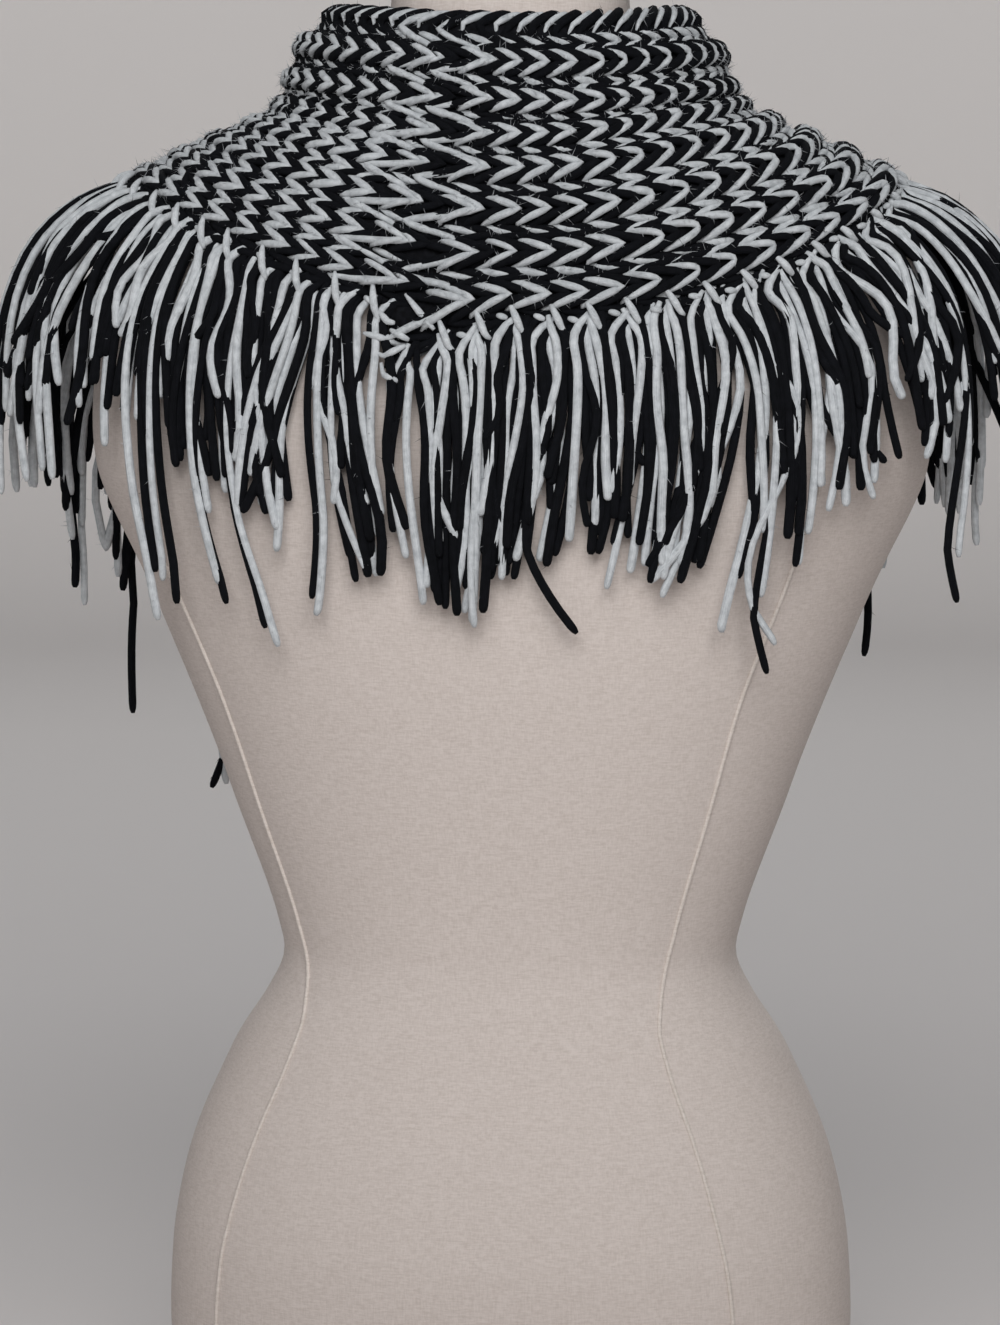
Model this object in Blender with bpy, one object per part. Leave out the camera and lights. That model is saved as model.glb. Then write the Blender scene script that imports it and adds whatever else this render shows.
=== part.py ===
"""Fringed knit cowl shawl, worn by a limbless dress form.

Metres, +Z up. The form stands on its flat underside, and the origin is the middle of that
face. It faces +Y, so its back is towards -Y and its right shoulder towards +X. The garment
is one rib-knit band whose two ends are joined left of the centre back. It stands round the
neck as a collar, spreads over the shoulders, and carries a fringe along its lower edge.

The tables below are in millimetres, and MM turns them into metres. A place on the garment
is a turn, from 0 at the join round by the right shoulder to 1 at the join again, and a
drop, from 0 at the upper edge of the piece to 1 at its lower edge.
"""

import math
from bisect import bisect_right
from collections import namedtuple

import bmesh
import bpy
from mathutils import Vector

MM = 0.001

# --- driving sizes ---------------------------------------------------------------------------
FORM_HEIGHT = 748.0
FORM_SQUARENESS = 2.25  # exponent of the form's sections: 2 is an ellipse
FORM_SIDES = 44
SHOULDERS_LOW, SHOULDERS_HIGH = 580, 690  # twice as many rings between these heights
FRONT = 90.0  # degrees round the form, from +X
BUST_SWELL, BUST_HEIGHT, BUST_REACH = 0.10, 404.0, 46.0  # share of radius, centre, spread
BUST_ANGLE, BUST_WIDTH = 30.0, 17.0  # degrees each side of the front, and their spread

JOIN_ANGLE = -102.5  # degrees: the band's ends meet just left of the centre back
JOIN_GAP = 0.0006  # of a turn, about 0.4 mm
SAG_POWER = 2.2  # how a section falls from the shoulder line to the middle
SWAY = 8.0  # degrees: the garment is turned this far round on the form
RIGHT_SLUMP, SLUMP_END = 5.0, 0.45  # the collar sinks this much at the right shoulder
REST_CLEARANCE, REST_BLEND = 1.8, 4.0  # the band lies this far off the form

RIBS = 16  # raised and sunk ribs together, across the band
WALL, RIB_RELIEF = 9.0, 2.6  # mean thickness of the knit, and rise and fall of its ribs
INNER_ROWS = 8
CORNER_DROP, CORNER_TURNS = 31.0, 0.05  # the lower corner of the band's right-hand end
CORNER_ROUND, CORNER_REACH = 1.4, 6  # powers: its shape round the form, and down the band

TASSELS = 53
FRINGE_WALL = 8.5
FRINGE_ROWS = 4
FRINGE_END = 0.93  # mean drop of its cut ends
TOOTH, RAGGED = 0.035, 0.0225  # a tassel's tooth, and how unevenly the ends are cut
HEM_GAP = 0.8  # between the hem and the fringe under it
AROUND = 2 * TASSELS  # divisions of the band and of the fringe

FormSection = namedtuple("FormSection", "z half_width back front")
FORM_SECTIONS = [
    FormSection(0, 163, 99, 86),
    FormSection(30, 169, 107, 92),
    FormSection(60, 172, 112, 96),
    FormSection(100, 170.5, 114, 98),
    FormSection(122, 167.5, 111, 98),
    FormSection(146, 162, 106, 97),
    FormSection(166, 155, 101, 95),
    FormSection(188, 145, 95, 92),
    FormSection(206, 136, 91, 89.5),
    FormSection(228, 121.5, 87, 86.5),
    FormSection(246, 113.5, 85, 85.5),
    FormSection(264, 116.5, 86, 87),
    FormSection(283, 122.5, 88, 90),
    FormSection(320, 136.5, 94, 99),
    FormSection(348, 146.5, 99, 107),
    FormSection(382, 160, 105, 114),
    FormSection(408, 171, 109, 116),
    FormSection(428, 179.5, 112, 114.5),
    FormSection(448, 189, 114.5, 112),
    FormSection(470, 200, 117, 108),
    FormSection(488, 207, 118, 104),
    FormSection(510, 209.5, 118, 99),
    FormSection(540, 208, 116, 92),
    FormSection(565, 205, 113, 87),
    FormSection(588, 200, 108, 82),
    FormSection(606, 195, 103, 78),
    FormSection(623, 187, 96, 74),
    FormSection(632, 173, 91, 71),
    FormSection(641, 153, 85, 68),
    FormSection(649, 134, 78, 65.5),
    FormSection(657, 115, 70.5, 64),
    FormSection(666, 96, 63, 63),
    FormSection(676, 79, 56, 62.5),
    FormSection(688, 66, 51, 62),
    FormSection(702, 60.5, 48, 62),
    FormSection(722, 58.5, 46, 63),
    FormSection(742, 57.5, 45, 64.5),
    FormSection(FORM_HEIGHT, 52, 41, 60),
]

# Inner face of the band from the rim, 0, to the hem, 1: its side, back and front outlines.
BandSection = namedtuple("BandSection", "drop half_width side_z back back_z front front_z")
BAND_SECTIONS = [
    BandSection(0 / 9, 82, 711, 68, 706, 92, 650),
    BandSection(1 / 9, 94, 700, 76.5, 691.5, 99.5, 633),
    BandSection(2 / 9, 101.5, 687, 81.5, 675.5, 103, 614.5),
    BandSection(3 / 9, 105.5, 673.5, 85, 660, 102.5, 596),
    BandSection(4 / 9, 114.5, 661, 89.5, 644.5, 100.5, 577.5),
    BandSection(5 / 9, 129, 653.5, 96, 629, 100.5, 558),
    BandSection(6 / 9, 145, 647, 102, 612, 101.5, 539),
    BandSection(7 / 9, 161, 640, 107, 595, 103.5, 520),
    BandSection(8 / 9, 177, 632.5, 111.5, 577.5, 106.5, 501),
    BandSection(9 / 9, 192, 625, 114.5, 560, 110, 482),
]

# Inner face of the fringe from the hem, 0, to its ends, 1.
FringeSection = namedtuple("FringeSection", "drop half_width side_z back back_z front front_z")
FRINGE_SECTIONS = [
    FringeSection(0 / 6, 192.5, 624.5, 114.5, 559.5, 110, 481.5),
    FringeSection(1 / 6, 214, 616, 117.5, 537, 118, 456),
    FringeSection(2 / 6, 234, 599, 119, 513, 126, 431),
    FringeSection(3 / 6, 247, 575, 119.5, 489, 130, 407),
    FringeSection(4 / 6, 254, 547, 119, 465, 131.5, 383),
    FringeSection(5 / 6, 257, 516, 118.5, 440, 131, 359),
    FringeSection(6 / 6, 257, 480, 118, 415, 130, 335),
]


# --- curves through the tables -----------------------------------------------------------------
def smooth_row(rows, key):
    """The row at a key between the table's rows, on a smooth curve through them."""
    key = min(max(key, rows[0][0]), rows[-1][0])
    keys = [row[0] for row in rows]
    i = min(bisect_right(keys, key), len(rows) - 1) - 1
    start, end = rows[i], rows[i + 1]
    before, after = rows[max(i - 1, 0)], rows[min(i + 2, len(rows) - 1)]
    span = end[0] - start[0]
    t = (key - start[0]) / span
    values = [key]
    for column in range(1, len(start)):
        leave = span * (end[column] - before[column]) / (end[0] - before[0])
        arrive = span * (after[column] - start[column]) / (after[0] - start[0])
        values.append(
            (2 * t**3 - 3 * t**2 + 1) * start[column]
            + (t**3 - 2 * t**2 + t) * leave
            + (3 * t**2 - 2 * t**3) * end[column]
            + (t**3 - t**2) * arrive
        )
    return type(start)(*values)


def form_radius(angle, z):
    """Distance from the axis to the form's surface, at an angle in degrees and a height."""
    section = smooth_row(FORM_SECTIONS, z)
    across, along = math.cos(math.radians(angle)), math.sin(math.radians(angle))
    depth = section.front if along > 0 else section.back
    radius = (
        abs(across / section.half_width) ** FORM_SQUARENESS
        + abs(along / depth) ** FORM_SQUARENESS
    ) ** (-1 / FORM_SQUARENESS)
    off_bust = (abs(angle % 360 - FRONT) - BUST_ANGLE) / BUST_WIDTH
    off_height = (z - BUST_HEIGHT) / BUST_REACH
    return radius * (1 + BUST_SWELL * math.exp(-(off_bust**2) - off_height**2))


def clear_of_form(x, y, z):
    """The point, moved straight out from the axis until it lies just off the form."""
    reach = math.hypot(x, y)
    angle = math.degrees(math.atan2(y, x))
    slope = (form_radius(angle, z + 1) - form_radius(angle, z - 1)) / 2
    least = form_radius(angle, z) + REST_CLEARANCE * math.hypot(1, slope)
    wanted = (reach + least + math.hypot(reach - least, REST_BLEND)) / 2
    return Vector((x * wanted / reach, y * wanted / reach, z))


def section_point(section, turn):
    """Point of a section of the band or the fringe."""
    angle = math.radians(JOIN_ANGLE + 360 * turn)
    across, along = math.cos(angle), math.sin(angle)
    depth = section.front if along > 0 else section.back
    middle_z = section.front_z if along > 0 else section.back_z
    fall = abs(math.sin(angle - math.radians(SWAY))) ** SAG_POWER
    z = section.side_z + (middle_z - section.side_z) * fall
    return section.half_width * across, depth * along, z


def corner_drop(turn):
    """How much lower the hem hangs at the right-hand end of the band."""
    return CORNER_DROP * max(0, 1 - abs(turn) / CORNER_TURNS) ** CORNER_ROUND


def collar_slump(turn, drop):
    """How far the collar has sunk on the right shoulder, most halfway down it."""
    right = max(0, math.cos(math.radians(JOIN_ANGLE + 360 * turn)))
    return RIGHT_SLUMP * right * math.sin(math.pi * min(drop / SLUMP_END, 1))


def band_inner(turn, drop):
    x, y, z = section_point(smooth_row(BAND_SECTIONS, drop), turn)
    fall = collar_slump(turn, drop) + corner_drop(turn) * drop**CORNER_REACH
    return clear_of_form(x, y, z - fall)


def fringe_inner(turn, drop):
    x, y, z = section_point(smooth_row(FRINGE_SECTIONS, drop), turn)
    return clear_of_form(x, y, z - corner_drop(turn) * (1 - drop))


def lifted(surface, turn, drop, height, step=0.004):
    """The surface's point moved out along its own normal."""
    round_it = surface(turn + step, drop) - surface(turn - step, drop)
    down_it = surface(turn, min(drop + step, 1)) - surface(turn, max(drop - step, 0))
    return surface(turn, drop) + height * down_it.cross(round_it).normalized()


def below_hem(point, turn, step=0.02):
    """The hem's point moved on past the hem, along the way the band falls there."""
    fall = band_inner(turn, 1) - band_inner(turn, 1 - step)
    return point + HEM_GAP * fall.normalized()


def rib_height(rib):
    """Thickness of the knit across its ribs: crests at 0.5, 2.5 and so on."""
    return WALL + RIB_RELIEF * math.cos(math.pi * (rib - 0.5))


# --- meshes -------------------------------------------------------------------------------------
def loft(name, rings, collection, material, sharp=35):
    """A solid through closed rings of points, with its first and last ring capped."""
    mesh = bmesh.new()
    verts = [[mesh.verts.new(point * MM) for point in ring] for ring in rings]
    for ring, following in zip(verts, verts[1:]):
        for i in range(len(ring)):
            j = (i + 1) % len(ring)
            mesh.faces.new((ring[i], ring[j], following[j], following[i]))
    mesh.faces.new(reversed(verts[0]))
    mesh.faces.new(verts[-1])
    bmesh.ops.recalc_face_normals(mesh, faces=mesh.faces)
    data = bpy.data.meshes.new(name)
    mesh.to_mesh(data)
    mesh.free()
    data.shade_smooth()
    data.set_sharp_from_angle(angle=math.radians(sharp))
    data.materials.append(material)
    collection.objects.link(bpy.data.objects.new(name, data))


def plain_material(name, color, roughness):
    material = bpy.data.materials.new(name)
    material.use_nodes = True
    shader = material.node_tree.nodes["Principled BSDF"]
    shader.inputs["Base Color"].default_value = (*color, 1)
    shader.inputs["Roughness"].default_value = roughness
    shader.inputs["Metallic"].default_value = 0
    return material


def form_ring(z):
    """Points of one section of the form, evenly spaced as on a stretched circle."""
    section = smooth_row(FORM_SECTIONS, z)
    ring = []
    for i in range(FORM_SIDES):
        even = 2 * math.pi * i / FORM_SIDES
        depth = section.front if math.sin(even) > 0 else section.back
        angle = math.atan2(depth * math.sin(even), section.half_width * math.cos(even))
        radius = form_radius(math.degrees(angle), z)
        ring.append(Vector((radius * math.cos(angle), radius * math.sin(angle), z)))
    return ring


def make_form(collection):
    """The form: from its flat underside to its flat neck top, with no arms."""
    heights = [section.z for section in FORM_SECTIONS]
    for low, high in zip(heights[:-1], heights[1:]):
        if low > SHOULDERS_LOW and high < SHOULDERS_HIGH:
            heights.append((low + high) / 2)
    rings = [form_ring(z) for z in sorted(heights)]
    linen = plain_material("linen", (0.56, 0.50, 0.43), 0.85)
    loft("dress_form", rings, collection, linen)


def make_band(collection):
    """The knit: a ribbed outer face and a plain inner face, as one wall round the neck."""
    ribs = [0] + [rib + 0.5 for rib in range(RIBS)] + [RIBS]
    rings = []
    for i in range(AROUND + 1):
        turn = (1 - JOIN_GAP) * i / AROUND
        outer = [lifted(band_inner, turn, rib / RIBS, rib_height(rib)) for rib in ribs]
        inner = [band_inner(turn, row / INNER_ROWS) for row in range(INNER_ROWS, -1, -1)]
        rings.append(outer + inner)
    yarn = plain_material("rib_knit", (0.30, 0.30, 0.31), 0.95)
    loft("knit_band", rings, collection, yarn)


def fringe_end(i):
    """Drop of the fringe's lower edge: a tooth for each tassel, unevenly cut."""
    tooth = TOOTH if i % 2 else -TOOTH
    return FRINGE_END + tooth + RAGGED * (math.sin(5 * i) + 0.6 * math.sin(2.3 * i + 1))


def make_fringe(collection):
    """The fringe's reach: a hanging wall with a toothed lower edge."""
    rings = []
    for i in range(AROUND + 1):
        turn = (1 - JOIN_GAP) * i / AROUND
        drops = [fringe_end(i) * row / FRINGE_ROWS for row in range(1, FRINGE_ROWS + 1)]
        outer = [lifted(fringe_inner, turn, drop, FRINGE_WALL) for drop in drops]
        inner = [fringe_inner(turn, drop) for drop in reversed(drops)]
        top_outer = below_hem(lifted(band_inner, turn, 1, FRINGE_WALL), turn)
        top_inner = below_hem(band_inner(turn, 1), turn)
        rings.append([top_outer] + outer + inner + [top_inner])
    yarn = plain_material("fringe_yarn", (0.20, 0.20, 0.21), 0.95)
    loft("fringe", rings, collection, yarn)


def main():
    for obj in list(bpy.data.objects):
        bpy.data.objects.remove(obj, do_unlink=True)
    collection = bpy.data.collections.new("fringed_knit_cowl_on_dress_form")
    bpy.context.scene.collection.children.link(collection)
    make_form(collection)
    make_band(collection)
    make_fringe(collection)


main()
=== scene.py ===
# %% [markdown]
# # A fringed rib-knit cowl on a dress form
#
# The object is a cowl, a short shawl worn like a wide collar. It is knitted in two colours
# of chunky acrylic yarn, joined into a ring, fringed along its lower edge, and shown on a
# limbless dress form covered with linen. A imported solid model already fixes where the
# three main pieces are. This script gives them their real surfaces: every stitch is a
# strand of yarn that follows the shape of the solid.

import math
from collections import namedtuple

import bmesh
import bpy
import numpy as np
from mathutils import Matrix, Vector


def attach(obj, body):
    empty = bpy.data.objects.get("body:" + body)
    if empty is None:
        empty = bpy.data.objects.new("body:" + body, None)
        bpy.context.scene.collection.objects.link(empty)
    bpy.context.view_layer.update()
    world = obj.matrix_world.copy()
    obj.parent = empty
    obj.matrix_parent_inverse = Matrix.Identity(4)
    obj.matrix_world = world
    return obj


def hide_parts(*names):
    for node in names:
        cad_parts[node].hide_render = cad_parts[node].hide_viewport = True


MM = 0.001
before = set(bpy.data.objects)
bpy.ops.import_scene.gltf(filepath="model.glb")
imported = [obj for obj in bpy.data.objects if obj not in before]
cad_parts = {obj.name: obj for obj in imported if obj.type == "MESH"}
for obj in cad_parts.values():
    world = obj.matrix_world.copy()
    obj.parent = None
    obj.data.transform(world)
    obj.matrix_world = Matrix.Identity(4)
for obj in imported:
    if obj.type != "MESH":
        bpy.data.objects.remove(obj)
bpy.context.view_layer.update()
print("solids:", ", ".join(sorted(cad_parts)))

# %% [markdown]
# ## Where the camera stands
#
# A camera that is far away with a long lens flattens a garment the way a product picture
# does. The distance and the height of the view at the target give the lens. Blender
# measures the sensor along the long side of the picture, which is the height here.

# %% Camera
AZIMUTH, ELEVATION = math.radians(8), math.radians(5)
DISTANCE = 2.4  # metres
VIEW_HEIGHT = 0.6625  # metres that the picture spans at the target
TARGET_RIGHT, TARGET_HEIGHT = -0.005, 0.3915  # metres
SENSOR = 36.0  # mm

towards_camera = Vector(
    (
        math.sin(AZIMUTH) * math.cos(ELEVATION),
        -math.cos(AZIMUTH) * math.cos(ELEVATION),
        math.sin(ELEVATION),
    )
)
picture_right = Vector((math.cos(AZIMUTH), math.sin(AZIMUTH), 0))
target = TARGET_RIGHT * picture_right + Vector((0, 0, TARGET_HEIGHT))
camera = bpy.data.objects.new("camera", bpy.data.cameras.new("camera"))
camera.location = target + DISTANCE * towards_camera
camera.rotation_euler = towards_camera.to_track_quat("Z", "Y").to_euler()
camera.data.sensor_width = SENSOR
camera.data.lens = SENSOR * DISTANCE / VIEW_HEIGHT
camera.data.clip_end = 50  # metres, far past the wall
bpy.context.scene.collection.objects.link(camera)
bpy.context.scene.camera = camera
print("lens:", round(camera.data.lens), "mm")

# %% [markdown]
# ## The sizes that the garment follows
#
# The solids are lofts through short tables of sections, in millimetres. The same tables
# are repeated here, because a strand of yarn has to know where the cloth's inner face is
# at any place on it. A place is a turn, from 0 at the join round the neck to 1 at the join
# again, and a drop, from 0 at the upper edge to 1 at the lower edge.

# %% Tables of sections
FormSection = namedtuple("FormSection", "z half_width back front")
FORM_SECTIONS = [
    FormSection(0, 163, 99, 86),
    FormSection(30, 169, 107, 92),
    FormSection(60, 172, 112, 96),
    FormSection(100, 170.5, 114, 98),
    FormSection(122, 167.5, 111, 98),
    FormSection(146, 162, 106, 97),
    FormSection(166, 155, 101, 95),
    FormSection(188, 145, 95, 92),
    FormSection(206, 136, 91, 89.5),
    FormSection(228, 121.5, 87, 86.5),
    FormSection(246, 113.5, 85, 85.5),
    FormSection(264, 116.5, 86, 87),
    FormSection(283, 122.5, 88, 90),
    FormSection(320, 136.5, 94, 99),
    FormSection(348, 146.5, 99, 107),
    FormSection(382, 160, 105, 114),
    FormSection(408, 171, 109, 116),
    FormSection(428, 179.5, 112, 114.5),
    FormSection(448, 189, 114.5, 112),
    FormSection(470, 200, 117, 108),
    FormSection(488, 207, 118, 104),
    FormSection(510, 209.5, 118, 99),
    FormSection(540, 208, 116, 92),
    FormSection(565, 205, 113, 87),
    FormSection(588, 200, 108, 82),
    FormSection(606, 195, 103, 78),
    FormSection(623, 187, 96, 74),
    FormSection(632, 173, 91, 71),
    FormSection(641, 153, 85, 68),
    FormSection(649, 134, 78, 65.5),
    FormSection(657, 115, 70.5, 64),
    FormSection(666, 96, 63, 63),
    FormSection(676, 79, 56, 62.5),
    FormSection(688, 66, 51, 62),
    FormSection(702, 60.5, 48, 62),
    FormSection(722, 58.5, 46, 63),
    FormSection(742, 57.5, 45, 64.5),
    FormSection(748, 52, 41, 60),
]

ClothSection = namedtuple("ClothSection", "drop half_width side_z back back_z front front_z")
BAND_SECTIONS = [
    ClothSection(0 / 9, 82, 711, 68, 706, 92, 650),
    ClothSection(1 / 9, 94, 700, 76.5, 691.5, 99.5, 633),
    ClothSection(2 / 9, 101.5, 687, 81.5, 675.5, 103, 614.5),
    ClothSection(3 / 9, 105.5, 673.5, 85, 660, 102.5, 596),
    ClothSection(4 / 9, 114.5, 661, 89.5, 644.5, 100.5, 577.5),
    ClothSection(5 / 9, 129, 653.5, 96, 629, 100.5, 558),
    ClothSection(6 / 9, 145, 647, 102, 612, 101.5, 539),
    ClothSection(7 / 9, 161, 640, 107, 595, 103.5, 520),
    ClothSection(8 / 9, 177, 632.5, 111.5, 577.5, 106.5, 501),
    ClothSection(9 / 9, 192, 625, 114.5, 560, 110, 482),
]
FRINGE_SECTIONS = [
    ClothSection(0 / 6, 192.5, 624.5, 114.5, 559.5, 110, 481.5),
    ClothSection(1 / 6, 214, 616, 117.5, 537, 118, 456),
    ClothSection(2 / 6, 234, 599, 119, 513, 126, 431),
    ClothSection(3 / 6, 247, 575, 119.5, 489, 130, 407),
    ClothSection(4 / 6, 254, 547, 119, 465, 131.5, 383),
    ClothSection(5 / 6, 257, 516, 118.5, 440, 131, 359),
    ClothSection(6 / 6, 257, 480, 118, 415, 130, 335),
]

# %% [markdown]
# ## From sections to a smooth shape
#
# Straight lines between the sections would leave corners. Between each two of them runs a
# cubic curve instead, whose slopes come from their neighbours, so that the shape is smooth
# and still passes through every section.

# %% A smooth curve through a table
def smooth_columns(rows, key):
    """The table's columns at each key, as an array with the columns last."""
    table = np.array(rows, float)
    keys = table[:, 0]
    key = np.clip(np.asarray(key, float), keys[0], keys[-1])
    start = np.clip(np.searchsorted(keys, key, side="right") - 1, 0, len(keys) - 2)
    end = start + 1
    before, after = np.maximum(start - 1, 0), np.minimum(end + 1, len(keys) - 1)
    span = (keys[end] - keys[start])[..., None]
    t = (key - keys[start])[..., None] / span
    leave = span * (table[end] - table[before]) / (keys[end] - keys[before])[..., None]
    arrive = span * (table[after] - table[start]) / (keys[after] - keys[start])[..., None]
    values = (
        (2 * t**3 - 3 * t**2 + 1) * table[start]
        + (t**3 - 2 * t**2 + t) * leave
        + (3 * t**2 - 2 * t**3) * table[end]
        + (t**3 - t**2) * arrive
    )
    return values[..., 1:]


print("waist:", 2 * smooth_columns(FORM_SECTIONS, 246)[0], "mm wide")

# %% [markdown]
# ## The shape of the form and of the cloth
#
# Each section of the form is a rounded ellipse, with two soft swellings for the bust. The
# cloth's sections are ellipses that sag from the shoulder line to the middle of the back
# and the front, and the cloth is pushed out wherever it would touch the form.

# %% Surfaces
FORM_SQUARENESS = 2.25  # 2 gives an ellipse, and more a squarer section
FRONT = 90.0  # degrees
BUST_SWELL, BUST_HEIGHT, BUST_REACH = 0.10, 404.0, 46.0  # share, mm and mm
BUST_ANGLE, BUST_WIDTH = 30.0, 17.0  # degrees from the front
JOIN_ANGLE = -102.5  # degrees, where turn 0 is
SAG_POWER = 2.2  # how late the cloth falls between the shoulder and the middle
SWAY = 8.0  # degrees that its lowest places are turned by
RIGHT_SLUMP, SLUMP_END = 5.0, 0.45  # mm that the collar sinks, and down to which drop
REST_CLEARANCE, REST_BLEND = 1.8, 4.0  # mm off the form, and how softly it lifts off
CORNER_DROP, CORNER_TURNS = 31.0, 0.05  # mm, and how far round from the join
CORNER_ROUND, CORNER_REACH = 1.4, 6  # powers round and down


def form_radius(angle, z):
    """Distance in mm from the axis to the form's surface, at an angle in degrees."""
    half_width, back, front = np.moveaxis(smooth_columns(FORM_SECTIONS, z), -1, 0)
    across, along = np.cos(np.radians(angle)), np.sin(np.radians(angle))
    depth = np.where(along > 0, front, back)
    radius = (
        np.abs(across / half_width) ** FORM_SQUARENESS
        + np.abs(along / depth) ** FORM_SQUARENESS
    ) ** (-1 / FORM_SQUARENESS)
    off_bust = (np.abs(angle % 360 - FRONT) - BUST_ANGLE) / BUST_WIDTH
    off_height = (z - BUST_HEIGHT) / BUST_REACH
    return radius * (1 + BUST_SWELL * np.exp(-(off_bust**2) - off_height**2))


def clear_of_form(x, y, z):
    """Points moved straight out from the axis until they lie just off the form."""
    reach = np.hypot(x, y)
    angle = np.degrees(np.arctan2(y, x))
    slope = (form_radius(angle, z + 1) - form_radius(angle, z - 1)) / 2
    least = form_radius(angle, z) + REST_CLEARANCE * np.hypot(1, slope)
    wanted = (reach + least + np.hypot(reach - least, REST_BLEND)) / 2
    return np.stack([x * wanted / reach, y * wanted / reach, z], axis=-1)


def section_point(table, turn, drop):
    """x, y and z of the cloth's sections."""
    half_width, side_z, back, back_z, front, front_z = np.moveaxis(
        smooth_columns(table, drop), -1, 0
    )
    angle = np.radians(JOIN_ANGLE + 360 * turn)
    across, along = np.cos(angle), np.sin(angle)
    depth = np.where(along > 0, front, back)
    middle_z = np.where(along > 0, front_z, back_z)
    fall = np.abs(np.sin(angle - math.radians(SWAY))) ** SAG_POWER
    return half_width * across, depth * along, side_z + (middle_z - side_z) * fall


def corner_drop(turn):
    """How much lower the hem hangs at the right-hand end of the band, past the join."""
    return CORNER_DROP * np.clip(1 - np.abs(turn) / CORNER_TURNS, 0, 1) ** CORNER_ROUND


def band_inner(turn, drop):
    """Inner face of the knitted band."""
    x, y, z = section_point(BAND_SECTIONS, turn, drop)
    right = np.clip(np.cos(np.radians(JOIN_ANGLE + 360 * turn)), 0, 1)
    slump = RIGHT_SLUMP * right * np.sin(math.pi * np.clip(drop / SLUMP_END, 0, 1))
    return clear_of_form(x, y, z - slump - corner_drop(turn) * drop**CORNER_REACH)


def fringe_inner(turn, drop):
    """Inner face of the hanging fringe."""
    x, y, z = section_point(FRINGE_SECTIONS, turn, drop)
    return clear_of_form(x, y, z - corner_drop(turn) * (1 - drop))


def lifted(surface, turn, drop, height, step=0.004):
    """Points of a surface, moved out along its normal by a height in mm."""
    turn, drop, height = np.broadcast_arrays(turn, drop, height)
    round_it = surface(turn + step, drop) - surface(turn - step, drop)
    down_it = surface(turn, np.minimum(drop + step, 1)) - surface(
        turn, np.maximum(drop - step, 0)
    )
    normal = np.cross(down_it, round_it)
    normal /= np.linalg.norm(normal, axis=-1, keepdims=True)
    return surface(turn, drop) + height[..., None] * normal


rim = band_inner(np.linspace(0, 1, 400), np.zeros(400))
hem = band_inner(np.linspace(0, 1, 400), np.ones(400))
for edge, line in (("rim", rim), ("hem", hem)):
    print(edge, "is", round(np.linalg.norm(np.diff(line, axis=0), axis=1).sum()), "mm round")

# %% [markdown]
# ## Stitches spread evenly
#
# A row of stitches is spread evenly along the cloth and not evenly by angle. For each drop
# the way round is measured, and a table then turns a share of that way into a turn.

# %% From a share of the way round to a turn
EVEN_DROPS = np.linspace(0, 1, 41)
EVEN_TURNS = np.linspace(0, 1, 721)


def even_table(surface):
    """Turns at even shares of the way round, and the way round in mm, for each drop."""
    turns, drops = np.meshgrid(EVEN_TURNS, EVEN_DROPS)
    points = surface(turns, drops)
    steps = np.linalg.norm(np.diff(points, axis=1), axis=2)
    along = np.concatenate([np.zeros((len(EVEN_DROPS), 1)), np.cumsum(steps, axis=1)], axis=1)
    round_mm = along[:, -1]
    even = [np.interp(EVEN_TURNS, row / row[-1], EVEN_TURNS) for row in along]
    return np.array(even), round_mm


def turn_at(table, share, drop):
    """The turn at a share of the way round, which may run a little past 0 or 1."""
    share, drop = np.broadcast_arrays(share, drop)
    whole = np.floor(share)
    column = (share - whole) * (len(EVEN_TURNS) - 1)
    row = np.clip(drop, 0, 1) * (len(EVEN_DROPS) - 1)
    i = np.clip(column.astype(int), 0, len(EVEN_TURNS) - 2)
    j = np.clip(row.astype(int), 0, len(EVEN_DROPS) - 2)
    u, v = column - i, row - j
    low = table[j, i] * (1 - u) + table[j, i + 1] * u
    high = table[j + 1, i] * (1 - u) + table[j + 1, i + 1] * u
    return low * (1 - v) + high * v + whole


band_even, band_round = even_table(band_inner)
fringe_even, _ = even_table(fringe_inner)
print("band", band_round[[0, 20, 40]].round(), "mm round at its rim, middle and hem")

RIM_EASE, HEM_EASE = 0.10, -0.13  # shares


def eased(share, drop):
    """The share of the way round, with the stitches looser near the join at the rim and
    tighter there at the hem, because the shoulders pull the hem wide."""
    ease = RIM_EASE + (HEM_EASE - RIM_EASE) * np.clip(drop, 0, 1)
    return share + ease * np.sin(2 * np.pi * share) / (2 * np.pi)


# %% [markdown]
# ## Small helpers
#
# Colours are picked as sRGB hex values, which a shader needs as linear light. One helper
# adds a shader node, sets its inputs and links it. Every fibre surface here ends the same
# way, with colours and a fine relief that follow a pattern, so one helper does that too.

# %% Colour and node helpers
def linear(hex_color):
    """An sRGB colour such as "c8ced4" as linear red, green, blue and alpha."""
    parts = [int(hex_color[i : i + 2], 16) / 255 for i in (0, 2, 4)]
    return [c / 12.92 if c <= 0.04045 else ((c + 0.055) / 1.055) ** 2.4 for c in parts] + [1]


def add_node(tree, kind, settings=None, links=None, **inputs):
    """A new node. Settings are its properties, inputs its sockets' values, and links join
    an input's name or number to an output of another node."""
    node = tree.nodes.new(kind)
    for name, value in (settings or {}).items():
        setattr(node, name, value)
    for name, value in inputs.items():
        node.inputs[name.replace("_", " ")].default_value = value
    for name, output in (links or {}).items():
        tree.links.new(output, node.inputs[name])
    return node


def new_material(name):
    """A material with its node tree and its Principled shader."""
    material = bpy.data.materials.new(name)
    material.use_nodes = True
    tree = material.node_tree
    return material, tree, tree.nodes["Principled BSDF"]


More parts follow.
